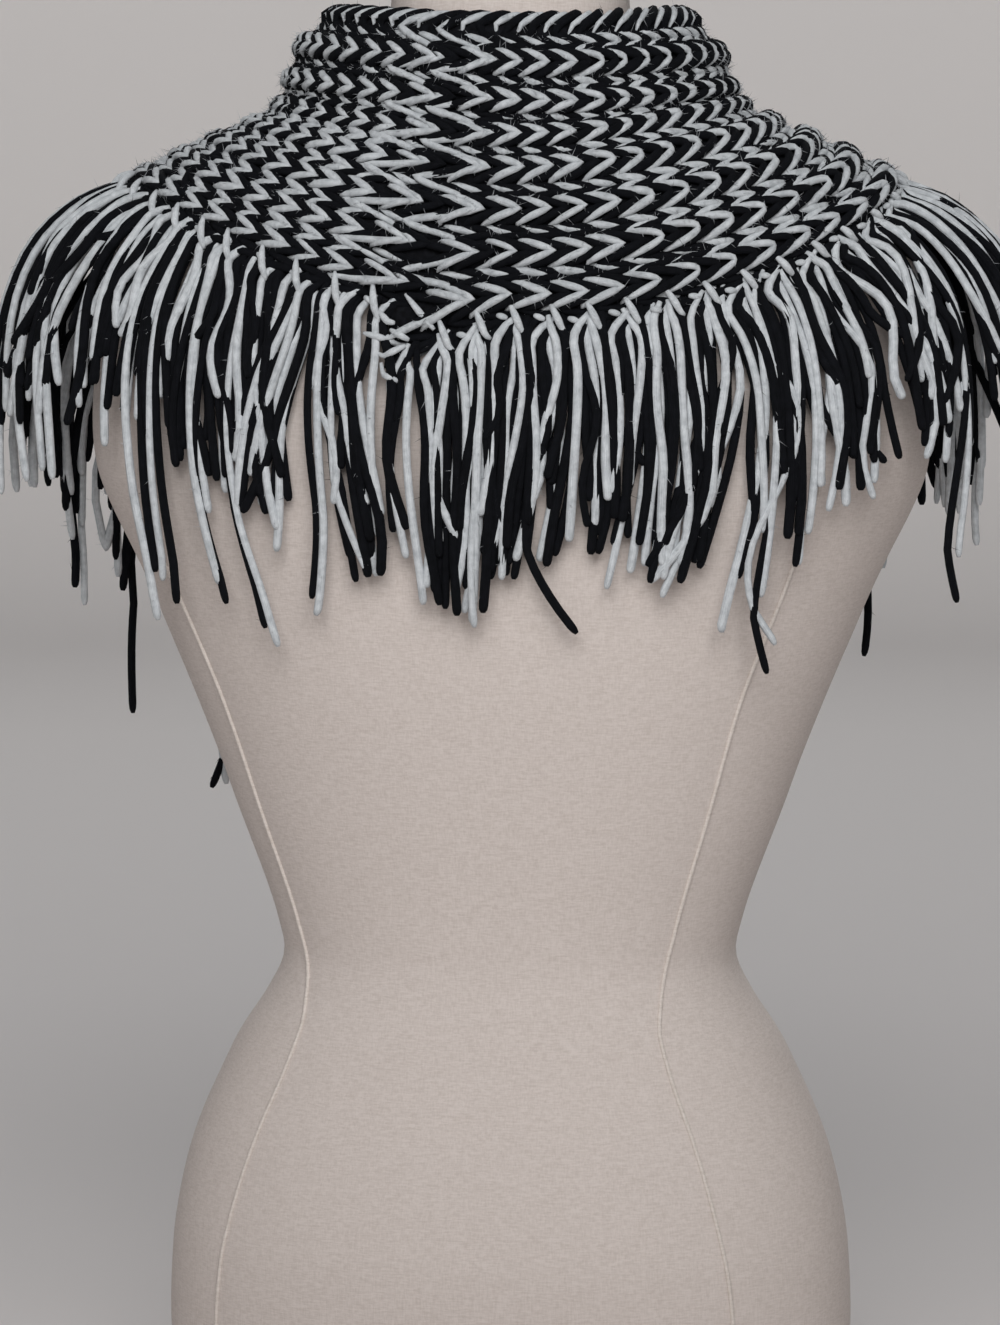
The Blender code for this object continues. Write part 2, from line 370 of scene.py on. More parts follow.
def cover(tree, shader, pattern, stops, relief, strength, depth, **values):
    """Colours the surface by a pattern, each stop a value of it and a hex colour, raises it
    by a relief of a depth in mm, and sets the shader's own values."""
    shade = add_node(tree, "ShaderNodeValToRGB", links={"Fac": pattern})
    for stop, (value, color) in zip(shade.color_ramp.elements, stops):
        stop.position = value
        stop.color = linear(color)
    tree.links.new(shade.outputs["Color"], shader.inputs["Base Color"])
    bump = add_node(
        tree,
        "ShaderNodeBump",
        links={"Height": relief},
        Strength=strength,
        Distance=depth * MM,
    )
    tree.links.new(bump.outputs["Normal"], shader.inputs["Normal"])
    for name, value in values.items():
        shader.inputs[name.replace("_", " ")].default_value = value


def add_object(name, data):
    """An object at the origin, unturned and unscaled, with its place in its mesh."""
    obj = bpy.data.objects.new(name, data)
    bpy.context.scene.collection.objects.link(obj)
    return obj


# %% [markdown]
# ## Yarn
#
# The yarn is a chunky acrylic, spun soft and slightly brushed. To the eye it is matt with
# a faint halo: the fibres catch light at grazing angles, which the shader's sheen gives.
# Its plies show only as a soft twist, and the loose fibres as a fine streak along the
# strand. Both read the strand's own UV map, where U is one turn round the strand and V is
# the length along it in millimetres.

# %% Yarn materials
PLY_TURN = 14.0  # mm of yarn for one turn of a ply
PLIES = 3
FIBRE_STREAK = 5.0  # mm, the length of a visible streak of fibres
STREAKS_ROUND = 14  # how many lie side by side round the strand
STREAK_HEIGHT = 3.0  # where a ply's ridge is 1
MOTTLE = 4.0  # mm


def yarn_material(name, dark, light, gloss, sheen, sheen_color):
    """Spun acrylic, from the colour between its fibres to that of the fibres on top."""
    material, tree, shader = new_material(name)
    place = add_node(tree, "ShaderNodeUVMap", {"uv_map": "strand"})
    split = add_node(tree, "ShaderNodeSeparateXYZ", links={"Vector": place.outputs["UV"]})
    # A ply's ridge runs round the strand as it runs along it.
    math_node, times, plus = "ShaderNodeMath", {"operation": "MULTIPLY"}, {"operation": "ADD"}
    along = add_node(tree, math_node, times, {0: split.outputs["Y"]})
    along.inputs[1].default_value = 1 / PLY_TURN
    turned = add_node(tree, math_node, plus, {0: split.outputs["X"], 1: along.outputs[0]})
    phase = add_node(tree, math_node, times, {0: turned.outputs[0]})
    phase.inputs[1].default_value = 2 * math.pi * PLIES
    ridge = add_node(tree, math_node, {"operation": "COSINE"}, {0: phase.outputs[0]})
    # Fibres: noise in millimetres, drawn out along the strand.
    spot = add_node(tree, "ShaderNodeTexCoord")
    mottle = add_node(
        tree,
        "ShaderNodeTexNoise",
        links={"Vector": spot.outputs["Object"]},
        Scale=1 / (MOTTLE * MM),
        Detail=3.0,
        Roughness=0.6,
    )
    stretch = add_node(tree, "ShaderNodeMapping", links={"Vector": place.outputs["UV"]})
    stretch.inputs["Scale"].default_value = (STREAKS_ROUND, 1 / FIBRE_STREAK, 1)
    streak = add_node(
        tree,
        "ShaderNodeTexNoise",
        links={"Vector": stretch.outputs["Vector"]},
        Scale=1.0,
        Detail=4.0,
        Roughness=0.7,
        Distortion=0.6,
    )
    both = add_node(
        tree,
        "ShaderNodeMix",
        {"data_type": "FLOAT"},
        {"A": streak.outputs["Fac"], "B": mottle.outputs["Fac"]},
        Factor=0.5,
    )
    height = add_node(
        tree,
        math_node,
        {"operation": "MULTIPLY_ADD"},
        {0: streak.outputs["Fac"], 2: ridge.outputs[0]},
    )
    height.inputs[1].default_value = STREAK_HEIGHT
    cover(
        tree,
        shader,
        both.outputs["Result"],
        ((0.34, dark), (0.62, light)),
        height.outputs[0],
        strength=0.45,
        depth=0.25,
        Roughness=0.9,
        Specular_IOR_Level=gloss,
        Sheen_Weight=sheen,
        Sheen_Roughness=0.6,
        Sheen_Tint=linear(sheen_color),
    )
    return material


white_yarn = yarn_material("white_acrylic_yarn", "a2a7ab", "d3d7da", 0.2, 0.2, "ffffff")
black_yarn = yarn_material("black_acrylic_yarn", "0a0b0d", "131418", 0.06, 0.03, "6a6f78")
print("yarns:", white_yarn.name, "and", black_yarn.name)

# %% [markdown]
# ## Strands
#
# A strand could be a swept mesh, but a curve with a round bevel is what a strand is: a
# line with a thickness, which may change along it. Many strands go into one curve object,
# one spline each, and the object is then made a mesh.

# %% Strands from lines
def strands(name, lines, radii, material, sides=8):
    """One mesh of strands. lines holds points in mm, and radii a radius for each point."""
    curve = bpy.data.curves.new(name, "CURVE")
    curve.dimensions = "3D"
    curve.bevel_depth = MM
    curve.bevel_resolution = sides // 2 - 2
    curve.use_fill_caps = True
    lengths = []
    for line, radius in zip(lines, radii):
        spline = curve.splines.new("POLY")
        spline.points.add(len(line) - 1)
        spline.points.foreach_set("co", np.c_[line * MM, np.ones(len(line))].ravel())
        spline.points.foreach_set("radius", radius)
        lengths.append(np.linalg.norm(np.diff(line, axis=0), axis=1).sum())
    guide = add_object(name, curve)
    bpy.context.view_layer.update()
    mesh = bpy.data.meshes.new_from_object(
        guide.evaluated_get(bpy.context.evaluated_depsgraph_get())
    )
    bpy.data.objects.remove(guide)
    bpy.data.curves.remove(curve)
    # The caps come apart from the sides, so they are joined to them.
    cleaner = bmesh.new()
    cleaner.from_mesh(mesh)
    bmesh.ops.remove_doubles(cleaner, verts=cleaner.verts, dist=0.0001 * MM)
    cleaner.to_mesh(mesh)
    cleaner.free()
    # The curve's own UV map runs from 0 to 1 along each strand. Here it runs in mm.
    uv_map = mesh.uv_layers[0]
    uv_map.name = "strand"
    uv = np.empty(len(mesh.loops) * 2, np.float32)
    uv_map.data.foreach_get("uv", uv)
    uv[1::2] *= np.mean(lengths)
    uv_map.data.foreach_set("uv", uv)
    mesh.materials.clear()
    mesh.materials.append(material)
    mesh.shade_smooth()
    piece = add_object(name, mesh)
    mesh.calc_loop_triangles()
    print(f"{name}: {len(lengths)} strands, {len(mesh.loop_triangles)} triangles")
    return piece


# %% [markdown]
# ## The knitting
#
# The band is knitted sideways. Each course is one strand that runs down the band, from the
# upper edge to the lower, through every column of stitches, or wale. Seen from outside it
# zigzags: it goes to the right up to the middle of a wale and back to the left at the
# wale's edge, so that each wale shows a row of Vs with their points to the right. Every
# other wale stands up as a rib, and the wales between are sunk. White and black courses
# take turns. A relief on a plain sheet would be lighter, but these stitches lie over each
# other and shade each other, so every course is a real strand. Sizes round the band are in
# pitches, the distance from one white course to the next.

# %% Sizes of the knitting
COURSES = 53  # of each colour
ROUND = 54.5  # pitches all the way round, with a gap at the join
FIRST_TIP = 2.0  # pitches from the join to the points of the first white course
LEAN = 0.4  # pitches that the columns of Vs have shifted by at the hem
WALES = 16  # raised and sunk
INSIDE_WALES = 6  # how far down the inner face the stitches are made
WALL = 9.0  # mm, the band's mean thickness
V_REACH, RIM_REACH = 1.13, 1.1  # pitches that a V is long, and on the rim a share of that
LEG_STEPS = 6  # points from a V's open end to its tip
RIB_SPREAD = 0.15  # wales that a raised wale spreads over its sunk neighbours
RELIEF = 2.9  # mm that a raised wale stands out and a sunk one lies back
FLATTENED = 0.7  # share of these two that is lost where the cloth is stretched
AXIS_DEPTH = 2.0  # mm from the outer face to the axis of the yarn
WHITE_DIVE, BLACK_DIVE = 5.6, 2.0  # mm that a strand dives at the open end of its V
RIM_BULGE = 1.5  # mm that the yarn stands up over the rim
WHITE, BLACK = 0, 1
YARNS = ((WHITE, "white", white_yarn), (BLACK, "black", black_yarn))

rng = np.random.default_rng(53)


def soft_step(low, high, x):
    """0 below low and 1 above high, with a smooth change between."""
    t = np.clip((x - low) / (high - low), 0, 1)
    return t * t * (3 - 2 * t)


def on_right(turn):
    """1 on the right shoulder, where the stitches are pulled open and show more black."""
    turn = turn % 1
    return soft_step(0.10, 0.13, turn) * (1 - soft_step(0.42, 0.52, turn))


def stretched(turn, drop):
    """1 on the left shoulder, where the ribs are pulled flat."""
    turn = turn % 1
    return soft_step(0.68, 0.76, turn) * soft_step(0.25, 0.45, drop) * 0.85


print("one pitch at the hem:", round(band_round[-1] / ROUND, 1), "mm")

# %% [markdown]
# ## The order of the courses
#
# Each course has its place in pitches, the reach of its Vs, its thickness as a share, and
# a long way back for the few whose strand skips the sunk wales. The ring is closed behind,
# where the band's two ends meet. There the edges are doubled: the first and the last white
# courses have long Vs with a second one inside them, and the last ones stand a little off.

# %% Courses in order
Course = namedtuple("Course", "number reach radius long_way")
JOIN_COURSES = {
    WHITE: (
        [Course(-0.2, 1.2, 0.92, 0), Course(0, 1.4, 0.98, 2.4)],
        [Course(52.35, 1.2, 0.88, 0), Course(52.6, 1.4, 0.96, 2.2)],
    ),
    BLACK: ([Course(-0.55, 1.7, 0.95, 0)], [Course(53.1, 1.3, 0.95, 0)]),
}
courses = {}
for color, (first, last) in JOIN_COURSES.items():
    inner = range(1, COURSES - 1) if color == WHITE else range(COURSES - 1)
    between = [Course(n + 0.5 * color, V_REACH, 1.0, 0) for n in inner]
    courses[color] = np.array(first + between + last)
print("courses:", {color: len(rows) for color, rows in courses.items()})


# %% [markdown]
# ## One course
#
# All courses of a colour are worked out at once, one row of an array for each. First each
# point gets its place on the cloth, then its height over the inner face, which decides
# what lies on top of what, and then the strand's thickness there. Every stitch has three
# random numbers of its own, so that no two are quite alike.

# %% Where the courses run
Stitches = namedtuple(
    "Stitches",
    "wale leg raised outside over_rim rib slow long_way reach thick loose lift"
    " right flat turn drop",
)


def stitch_places(color):
    """What each point of the courses of a colour is to its stitch, and its turn and drop."""
    wale = np.arange(-INSIDE_WALES * 2 * LEG_STEPS, WALES * 2 * LEG_STEPS + 1) / (2 * LEG_STEPS)
    number, reach, thick, long_way = (column[:, None] for column in courses[color].T)
    wale = np.broadcast_to(wale, (len(number), wale.shape[0]))
    # How far along its leg a point is: 0 at a wale's edges, 1 at the point of the V.
    leg = 1 - np.abs(2 * (wale % 1) - 1)
    raised = np.cos(np.pi * (wale - 0.5))
    stitch = np.clip(np.floor(wale).astype(int) + INSIDE_WALES, 0, WALES + INSIDE_WALES)
    loose, slack, lift = (
        np.take_along_axis(rng.normal(size=(len(number), WALES + INSIDE_WALES + 1)), stitch, 1)
        for _ in range(3)
    )
    # Drops are counted from the rim on both faces.
    outside = wale >= 0.5
    rough_drop = np.clip(np.where(outside, wale, 1 - wale) / WALES, 0, 1)
    tip_share = (FIRST_TIP + number + LEAN * rough_drop + 0.045 * slack) / ROUND
    turn = turn_at(band_even, eased(tip_share, rough_drop), rough_drop)
    right, flat = on_right(turn), stretched(turn, rough_drop)
    over_rim = np.clip(2 * wale - 1, -1, 1)  # -1 inside the rim, 0 on top, 1 outside
    on_rim = np.abs(over_rim) < 1
    spread = RIB_SPREAD * (1 - FLATTENED * flat) * np.cos(np.pi * wale)
    drop = np.where(outside, wale - spread * soft_step(0.75, 2, wale), 1 - wale) / WALES
    drop = np.where(on_rim, np.abs(over_rim) ** 1.6 / WALES, drop)
    drop = np.clip(drop, 0, 1)
    reach = np.where(on_rim, RIM_REACH * np.minimum(reach, 1.3), reach)
    reach = reach * (1 + 0.05 * loose)
    back = reach * (1 - leg) ** (1 + 0.8 * right)
    # The doubled courses at the join skip the sunk wales: from the lower end of one V the
    # strand runs straight to the point of the next.
    rib = wale % 2
    slow = np.where(rib <= 0.5, 0.5 - rib, 2.5 - rib) / 1.5
    skipping = np.where((rib > 0.5) & (rib < 1), 2 * rib - 1, slow)
    back = np.where(long_way > 0, long_way * skipping, back)
    turn = turn_at(band_even, eased(tip_share - back / ROUND, drop), drop)
    return Stitches(
        wale, leg, raised, outside, over_rim, rib, slow, long_way, reach, thick, loose, lift,
        right, flat, turn, drop,
    )


# %% How high they lie
def stitch_heights(color, at):
    """Heights in mm over the inner face, and how much of a hidden leg each point is. A
    strand dives at the wale's edge, and a little at the point of the V, and the lower legs
    of the sunk wales stay hidden."""
    leg, raised, right, flat, slow = at.leg, at.raised, at.right, at.flat, at.slow
    relief = RELIEF * (1 - FLATTENED * flat)
    doubled = np.clip(2 * (at.reach - 1.35), 0, 1)
    hidden = (1 - flat) * (1 - 0.85 * right) * (1 - 0.7 * doubled)
    lower_leg = (at.wale % 1 > 0.5) * np.sin(np.pi * leg)
    sunk_leg = np.clip(-raised, 0, 1) * (0.08 + 0.92 * lower_leg) * hidden
    height = WALL - AXIS_DEPTH + relief * raised - (0.9 + 0.5 * flat) * leg**4
    height = height + 0.25 * at.lift * np.sin(np.pi * leg)
    if color == WHITE:
        short = np.where(raised < 0, 2.7 * hidden + 5 * (1 - hidden), 5 - 2 * right)
        height = height - (WHITE_DIVE - 2.0 * right) * (1 - leg) ** short
        height = height - 3.0 * sunk_leg + 0.5 * right * np.clip(-raised, 0, 1)
        # Along its skip the strand stays in sight, but for a dip beside the next V.
        dip = 2.2 * np.sin(np.pi * slow / 0.55) ** 2 * (slow < 0.55)
        in_sight = WALL - 2.3 + 0.5 * relief * raised - dip
        in_sight = in_sight + 0.6 * (at.rib > 1) * (slow > 0.5)
        height = np.where(at.long_way > 0, in_sight, height)
        height = height - 4.5 * soft_step(WALES - 1, WALES - 0.75, at.wale)
    else:
        height = height - BLACK_DIVE * (1 - leg) ** 3 - 0.9 + 0.5 * right + 0.5 * flat
    inner_height = 2.0 - 1.2 * raised - 1.2 * (1 - leg) ** 2 - 0.5 * (color == BLACK)
    height = np.where(at.outside, height, inner_height)
    rim_height = 4.2 + 3.6 * np.sin(at.over_rim * math.pi / 2)
    return np.where(np.abs(at.over_rim) < 1, rim_height, height), sunk_leg


# %% How thick they are
def stitch_radii(color, at, sunk_leg):
    """Radii in mm. A strand is full along its leg and thin where it dives."""
    near_rim = 1 - soft_step(0.25, 0.5, at.drop)
    if color == WHITE:
        radius = 1.84 - 0.02 * at.right - 0.05 * at.flat + 0.3 * np.clip(-at.raised, 0, 1)
        radius = radius - (0.1 + 0.1 * at.right) * near_rim
        least, fullness = 0.36, 0.9
    else:
        radius = 2.0 + 0.1 * at.right + 0.2 * near_rim
        least, fullness = 0.62, 0.6
    leaf = np.sin(np.pi * (0.04 + 0.86 * at.leg))
    body = np.clip(least + 0.75 * leaf**fullness, 0, 1)
    long_body = np.clip(0.55 + 0.6 * np.sin(np.pi * (0.1 + 0.8 * at.leg)), 0, 1)
    body = np.where(at.long_way > 0, long_body, body)
    radius = at.thick * radius * body * (1 + 0.07 * at.loose)
    return radius * (1 - 0.3 * sunk_leg) if color == WHITE else radius


# %% The courses as strands
def knit_courses(color):
    """Lines and radii of all courses of one colour, from the inner face over the rim down
    to the hem."""
    at = stitch_places(color)
    height, sunk_leg = stitch_heights(color, at)
    points = lifted(band_inner, at.turn, at.drop, height)
    bulge = RIM_BULGE * np.sqrt(np.clip(1 - at.over_rim**2, 0, 1))
    upwards = band_inner(at.turn, 0 * at.drop) - band_inner(at.turn, 0 * at.drop + 0.02)
    upwards /= np.linalg.norm(upwards, axis=-1, keepdims=True)
    return points + bulge[..., None] * upwards, stitch_radii(color, at, sunk_leg)


knit_pieces = []
for color, word, material in YARNS:
    lines, radii = knit_courses(color)
    half = len(lines) // 2
    for side, part in (("right", slice(0, half)), ("left", slice(half, None))):
        piece = strands(f"{word}_courses_{side}", lines[part], radii[part], material)
        knit_pieces.append(piece)

# %% [markdown]
# ## The cloth behind the stitches
#
# Between the strands of a real knit the eye falls on more yarn, in shade. Here a thin
# near-black sheet stands for it, so that no linen shows through the gaps. Its colour is partly
# the black yarn's own and partly painted shade for the white yarn that lies deep in the gaps.
# It is a grid laid on the same surface as the stitches, with soft ridges under the raised wales
# and troughs under the sunk ones, and it gets its thickness from a Solidify modifier.

# %% The sheet's yarn
def painted_shade_wool():
    """Black yarn with painted shade, standing for all the yarn deep between the stitches; matt
    and a little uneven.
    """
    material, tree, shader = new_material("black_knit_with_painted_shade")
    spot = add_node(tree, "ShaderNodeTexCoord")
    mottle = add_node(
        tree,
        "ShaderNodeTexNoise",
        links={"Vector": spot.outputs["Object"]},
        Scale=1 / (3 * MM),
        Detail=4.0,
    )
    # The near-black stops are the black yarn's colour with painted shade for the deep gaps.
    cover(
        tree,
        shader,
        mottle.outputs["Fac"],
        ((0.35, "08080a"), (0.7, "15161a")),
        mottle.outputs["Fac"],
        strength=0.6,
        depth=0.5,
        Roughness=0.95,
        Specular_IOR_Level=0.1,
    )
    return material


# %% Sheet
SHEET_COLUMNS, SHEET_ROWS = 216, 80
SHEET_HEIGHT, SHEET_RELIEF, SHEET_THICKNESS = 3.6, 1.5, 1.2  # mm
SHEET_TOP, SHEET_FALL = 0.004, 0.986  # drops


def grid_on(name, columns, rows, place, material, thickness=None, closed=True):
    """A grid laid on a surface. place turns two shares, across and down from 0 to 1, into
    points in mm. Its UV map keeps the two shares."""
    grid = bmesh.new()
    bmesh.ops.create_grid(grid, x_segments=columns, y_segments=rows, size=0.5)
    shares = np.array([vert.co for vert in grid.verts])[:, :2] + 0.5
    uv_layer = grid.loops.layers.uv.new("cloth")
    for face in grid.faces:
        for loop in face.loops:
            loop[uv_layer].uv = loop.vert.co.xy + Vector((0.5, 0.5))
    points = place(shares[:, 0], shares[:, 1])
    for vert, point in zip(grid.verts, points * MM):
        vert.co = point
    if closed:
        bmesh.ops.remove_doubles(grid, verts=grid.verts, dist=0.01 * MM)
    bmesh.ops.recalc_face_normals(grid, faces=grid.faces)
    mesh = bpy.data.meshes.new(name)
    grid.to_mesh(mesh)
    grid.free()
    mesh.materials.append(material)
    mesh.shade_smooth()
    piece = add_object(name, mesh)
    if thickness:
        wall = piece.modifiers.new("wall", "SOLIDIFY")
        wall.thickness = thickness * MM
        wall.offset = 0
    print(f"{name}: {len(mesh.polygons)} faces")
    return piece


def sheet_place(share, drop):
    """The sheet, between the stitches of the two faces."""
    raised = np.cos(np.pi * (drop * WALES - 0.5))
    near_hem = soft_step(0.96, 1.0, drop)
    height = SHEET_HEIGHT + SHEET_RELIEF * raised * (1 - near_hem)
    down = SHEET_TOP + SHEET_FALL * drop
    return lifted(band_inner, turn_at(band_even, share, down), down, height)


sheet_piece = grid_on(
    "knit_sheet",
    SHEET_COLUMNS,
    SHEET_ROWS,
    sheet_place,
    painted_shade_wool(),
    thickness=SHEET_THICKNESS,
    closed=False,
)

# %% [markdown]
# ## The fringe
#
# Each course of white stitches carries one tassel at the lower edge. Six lengths of yarn,
# about two white and four black, are folded in half and drawn through the edge, so that
# twelve legs hang from it in three layers and a short bar of yarn lies over the edge. The
# legs are cut by hand, so their ends are uneven, and a few hang lower. Hair would do for a
# fine fringe, but these legs are as thick as the knitted yarn, so they are strands too.

# %% Sizes of the fringe
# A way down counts drops on the band, from 0 to 1, and then drops on the fringe.
LEG_POINTS, STRAY_POINTS = 19, 35
LEG_RADIUS = {WHITE: 2.12, BLACK: 2.25}  # mm
TOP, FRINGE_END = 0.965, 1.98  # ways down to the two ends of a leg
FRINGE_FALL = 140.0  # mm for one drop below the fringe's own end
GATHER, GATHER_CENTRE = 1.3, 0.045  # pitches that the legs draw in behind, and where to
DRIFT, CLUMP = 0.23, 0.38  # pitches that a leg and a whole tassel stray to the side
WAVE, DEPTH_WAVE = 0.1, 0.7  # how far a leg waves, in pitches and in mm
CURL_CHANCE = 0.12
MIXED_CHANCE, BLACK_CHANCE = 0.55, 0.15  # of a layer with more white and of an all black one
HOOK = 0.085  # ways down in which a leg settles under its start
NEAREST, FARTHEST = 2.3, 6.9  # mm from the inner face to a leg's axis
UNEVEN, WHITE_LONGER = 0.04, 0.03  # drops that the ends stray, and that white hangs lower
LEFT_UNEVEN = 1.6  # how much more unevenly the left half is cut

# The layers from the outside in, each with its colours from left to right, its height in
# mm, its shift to the right as a share of the gap between legs, and how uneven it is cut.
Layer = namedtuple("Layer", "colors height shift shorter")
LAYERS = [
    Layer((WHITE, BLACK, WHITE, BLACK), 6.0, 0.0, 0.18),
    Layer((BLACK, WHITE, BLACK, BLACK), 4.4, 0.4, 0.12),
    Layer((BLACK, BLACK, WHITE, BLACK), 2.9, 0.7, 0.10),
]
# Single legs that were cut longer. place and curl, how far the end turns aside, are in
# pitches.
Stray = namedtuple("Stray", "color place end curl")
STRAYS = [
    Stray(WHITE, 2.6, 1.98, 0.2),
    Stray(BLACK, 4.1, 1.99, 1.85),
    Stray(BLACK, 9.95, 2.21, 0.35),
    Stray(WHITE, 10.0, 2.12, 0.15),
    Stray(BLACK, 13.8, 2.20, 0.0),
    Stray(WHITE, 13.9, 2.05, 0.0),
    Stray(WHITE, 18.6, 2.12, -0.3),
    Stray(BLACK, 21.1, 2.24, 0.2),
    Stray(WHITE, 21.6, 2.10, -0.2),
    Stray(WHITE, 29.3, 2.08, 0.5),
    Stray(BLACK, 33.0, 2.12, -0.4),
    Stray(BLACK, 36.8, 2.49, 0.5),
    Stray(WHITE, 37.2, 2.44, -0.2),
    Stray(BLACK, 39.1, 2.42, 0.1),
    Stray(WHITE, 40.3, 2.16, 0.0),
    Stray(BLACK, 40.6, 2.13, 0.1),
    Stray(WHITE, 47.8, 2.22, 0.4),
    Stray(BLACK, 48.1, 2.06, 0.1),
    Stray(WHITE, 48.35, 2.08, 0.0),
    Stray(BLACK, 48.5, 2.14, 0.2),
    Stray(WHITE, 49.4, 2.02, 0.3),
    Stray(BLACK, 49.6, 2.08, 0.3),
    Stray(BLACK, 50.3, 2.12, 0.5),
    Stray(WHITE, 50.4, 2.17, 0.8),
    Stray(BLACK, 52.6, 1.98, -0.5),
    Stray(WHITE, 52.8, 2.03, -0.6),
    Stray(WHITE, 53.2, 1.86, 0.7),
]
# How much shorter the legs are cut round the shoulders, by pitches from the join.
TRIM_AT = (-1, 3, 5.5, 7.5, 9.5, 10.6, 13, 15, 18, 44, 46.5, 51, 52.5, 53.2)
TRIM = (0.02, 0.08, 0.26, 0.13, 0.02, 0.22, 0.26, 0.14, 0, 0, 0.2, 0.2, 0.12, 0.02)
# Loose stitches on the corner that hangs below the join: both ends, in pitches and drops.
Leaf = namedtuple("Leaf", "share down end_share end_down")
CORNER_LEAVES = [
    Leaf(0.38, 0.870, 1.40, 0.955),
    Leaf(-0.30, 0.910, 0.20, 0.922),
    Leaf(-0.60, 0.965, 0.10, 0.942),
    Leaf(0.10, 0.932, 0.70, 0.960),
    Leaf(-0.15, 0.975, 0.62, 0.968),
    Leaf(-0.05, 0.985, 0.50, 1.070),
]


def cloth_point(share, down, height):
    """A point over the band where down is below 1, and over the fringe beyond."""
    share, down, height = np.broadcast_arrays(share, down, height)
    on_band = np.minimum(down, 1)
    on_fringe = np.clip(down - 1, 0, 1)
    upper_turn = turn_at(band_even, eased(share, on_band), on_band)
    gathered = GATHER / ROUND * np.sin(4 * np.pi * (share - GATHER_CENTRE)) * on_fringe**0.8
    lower_turn = turn_at(fringe_even, eased(share, 1) - gathered, on_fringe)
    upper = lifted(band_inner, upper_turn, on_band, height)
    lower = lifted(fringe_inner, lower_turn, on_fringe, height)
    lower[..., 2] -= np.maximum(down - 2, 0) * FRINGE_FALL
    return np.where((down < 1)[..., None], upper, lower)


# %% [markdown]
# ## One leg
#
# A leg starts in the edge, a little to the side, and then hangs down over the layer below
# it. Its line is bent a little by chance, as yarn that was wound keeps some of its set.

# %% One leg
def along_leg(points):
    """Shares of a leg's length, close together near its top and at its tip."""
    return np.append(0.975 * np.linspace(0, 1, points - 2) ** 1.5, [0.99, 1.0])


ALONG, STRAY_ALONG = along_leg(LEG_POINTS), along_leg(STRAY_POINTS)


def fringe_leg(place, end, height, start_side, drift, curl=None, along=ALONG):
    """The line of one leg. place is in pitches from the join, start_side says how far to
    the side it starts before it hangs straight, drift how far its end strays, and curl how
    far it turns aside. With no curl given, both get a part by chance."""
    down = TOP + (end - TOP) * along
    hook = (down - TOP) / HOOK
    settle = start_side * (1 - 1.5 * hook) * np.exp(-(hook**2))
    own_drift = rng.normal(0, DRIFT)
    own_curl = np.clip(rng.normal(0, 0.6), -0.8, 0.8) * (rng.random() < CURL_CHANCE)
    if curl is None:
        drift, curl = drift + own_drift, own_curl
    drift = drift * np.maximum(along - 0.12, 0) ** 1.2
    phase, turns = rng.random(), rng.uniform(0.6, 1.8)
    wave = WAVE * rng.normal() * np.sin(2 * np.pi * (along * turns + phase))
    share = place + settle + drift + wave * np.minimum(along * 4, 1)
    share = share + curl * np.clip((along - 0.7) / 0.3, 0, 1) ** 1.5
    phase, turns = rng.random(), rng.uniform(0.4, 1.3)
    height = height + DEPTH_WAVE * np.sin(2 * np.pi * (along * turns + phase))
    height = np.clip(height, NEAREST, FARTHEST) - 1.2 * np.exp(-along * 12)
    return cloth_point(share / ROUND, down, height)


def leg_radii(color, along=ALONG):
    """Radii of one leg, with its top drawn in and its tip closed."""
    shape = np.interp(along, [0, 0.06, 0.9, 0.98, 0.99, 1], [0.6, 1, 1.08, 1.05, 0.9, 0.5])
    return LEG_RADIUS[color] * rng.uniform(0.82, 1.06) * shape


# %% [markdown]
# ## All the tassels
#
# A tassel gives its legs and then the yarn that shows on top of the edge. The loose corner
# and the longer legs come last. Each is a colour, a line and its radii, and all that are of
# one colour are made one piece.

# %% One tassel
BAR = np.linspace(0, 1, 9)


def leaf_radii(least, swell):
    """Radii of a short bar that is thickest in its middle."""
    return least + swell * np.sin(np.pi * (0.05 + 0.85 * BAR))


def tassel_legs(start, left, layers, mixed):
    """The legs of a tassel that starts at a place in pitches, on the left half or not.
    Mixed says whether its middle layer may have more white."""
    clump = rng.normal(0, CLUMP)
    trim = np.interp(start, TRIM_AT, TRIM)
    for layer in layers:
        colors = layer.colors
        if layer is LAYERS[1] and mixed and rng.random() < MIXED_CHANCE:
            colors = (BLACK, WHITE, BLACK, WHITE)
        if layer is not LAYERS[0] and rng.random() < BLACK_CHANCE:
            colors = (BLACK, BLACK, BLACK, BLACK)
        for number, color in enumerate(colors):
            place = start - 0.15 + (number + layer.shift) / len(colors)
            shorter = layer.shorter * (LEFT_UNEVEN if left else 1.0)
            end = FRINGE_END - trim - shorter * abs(rng.normal()) + UNEVEN * rng.normal()
            end += WHITE_LONGER if color == WHITE else -WHITE_LONGER
            side = 0.35 if left or number < 2 else -0.22
            side = side * (layer is LAYERS[0]) + 0.1 * rng.normal()
            # White lies on top at the edge and black lower down.
            height = layer.height + (0.4 - 0.9 * ALONG) * (1 if color == WHITE else -1)
            yield color, fringe_leg(place, end, height, side, clump), leg_radii(color)


def tassel_bars(start, left):
    """The bar over the edge, shaped as a leaf, and a short stub beside it."""
    width, fall = (0.32, 0.115) if left else (0.62, 0.085)
    share = start + 0.02 + width * BAR + 0.04 * rng.normal()
    height = 7.4 + 1.4 * np.sin(np.pi * BAR) - 2.0 * BAR**2
    yield WHITE, cloth_point(share / ROUND, 0.935 + fall * BAR, height), leaf_radii(0.7, 1.15)
    share = start + (-0.35 if left else 0.7) + 0.05 * rng.normal() + 0.3 * BAR + 0.25 * left
    down = 0.975 + 0.008 * rng.normal() + 0.012 * BAR
    line = cloth_point(share / ROUND, down, 6.0 + 0.8 * np.sin(np.pi * BAR))
    yield WHITE, line, 1.0 + 0.55 * np.sin(np.pi * BAR)


